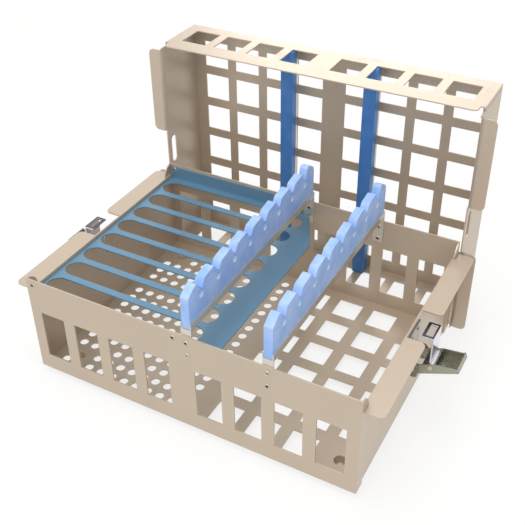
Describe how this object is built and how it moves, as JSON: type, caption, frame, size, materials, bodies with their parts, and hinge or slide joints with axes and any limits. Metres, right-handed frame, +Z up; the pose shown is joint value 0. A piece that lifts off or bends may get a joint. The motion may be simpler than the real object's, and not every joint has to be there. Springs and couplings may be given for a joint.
{
  "type": "instrument cassette",
  "caption": "Perforated sterilising tray with a handle rack, keyhole combs, latches at both ends and a lift-off lid with hold-down bars, shown standing behind it.",
  "frame": {"origin": "middle of the tray, on the surface that its four feet stand on", "axes": "+X along the tray's length with the handle rack on the -X side, -Y towards the front wall, +Z up; the lid stands on the +Y side"},
  "size_m": [0.466, 0.3392, 0.275],
  "materials": {
    "tray_metal": "satin champagne anodised sheet",
    "rack_coating": "satin blue coated sheet",
    "comb_silicone": "matte periwinkle silicone",
    "bar_silicone": "matte blue silicone",
    "channel_metal": "satin anodised sheet",
    "latch_steel": "brushed stainless sheet",
    "tongue_steel": "polished stainless sheet",
    "rivet_metal": "satin rivet and pin heads"
  },
  "bodies": {
    "tray": {"base_floor": "tray_metal", "base_front_wall": "tray_metal", "base_rear_wall": "tray_metal", "base_left_end": "tray_metal", "base_right_end": "tray_metal", "instrument_rack": "rack_coating", "rack_rivets": "rivet_metal", "comb_channel_left": "channel_metal", "comb_channel_right": "channel_metal", "comb_left": "comb_silicone", "comb_right": "comb_silicone", "comb_rivets": "rivet_metal", "latch_bracket_left": "latch_steel", "latch_bracket_right": "latch_steel", "latch_rivets": "rivet_metal", "lever_pin_left": "rivet_metal", "lever_pin_right": "rivet_metal"},
    "lid": {"lid_panel": "tray_metal", "lid_front_wall": "tray_metal", "lid_rear_wall": "tray_metal", "lid_left_end": "tray_metal", "lid_right_end": "tray_metal", "bar_channel_left": "channel_metal", "bar_channel_right": "channel_metal", "hold_down_bar_left": "bar_silicone", "hold_down_bar_right": "bar_silicone", "bar_rivets": "rivet_metal"},
    "lever_right": {"latch_lever_right": "latch_steel", "tongue_pin_right": "rivet_metal"},
    "tongue_right": {"latch_tongue_right": "tongue_steel"},
    "lever_left": {"latch_lever_left": "latch_steel", "tongue_pin_left": "rivet_metal"},
    "tongue_left": {"latch_tongue_left": "tongue_steel"}
  },
  "joints": [
    {"name": "lid_lift", "type": "slide", "parent": "tray", "child": "lid", "axis": [0, 0, 1], "range_m": [0, 0.3]},
    {"name": "lever_hinge_right", "type": "hinge", "parent": "tray", "child": "lever_right", "pos_m": [0.188, 0, 0.0665], "axis": [0, -1, 0], "range_deg": [0, 67]},
    {"name": "tongue_hinge_right", "type": "hinge", "parent": "lever_right", "child": "tongue_right", "pos_m": [0.20503, 0, 0.07373], "axis": [0, -1, 0], "range_deg": [-67, 0]},
    {"name": "lever_hinge_left", "type": "hinge", "parent": "tray", "child": "lever_left", "pos_m": [-0.188, 0, 0.0665], "axis": [0, 1, 0], "range_deg": [0, 67]},
    {"name": "tongue_hinge_left", "type": "hinge", "parent": "lever_left", "child": "tongue_left", "pos_m": [-0.20503, 0, 0.07373], "axis": [0, 1, 0], "range_deg": [-67, 0]}
  ],
  "couplings": [
    {"joint": "tongue_hinge_right", "follows": "lever_hinge_right", "ratio": -1},
    {"joint": "tongue_hinge_left", "follows": "lever_hinge_left", "ratio": -1}
  ]
}
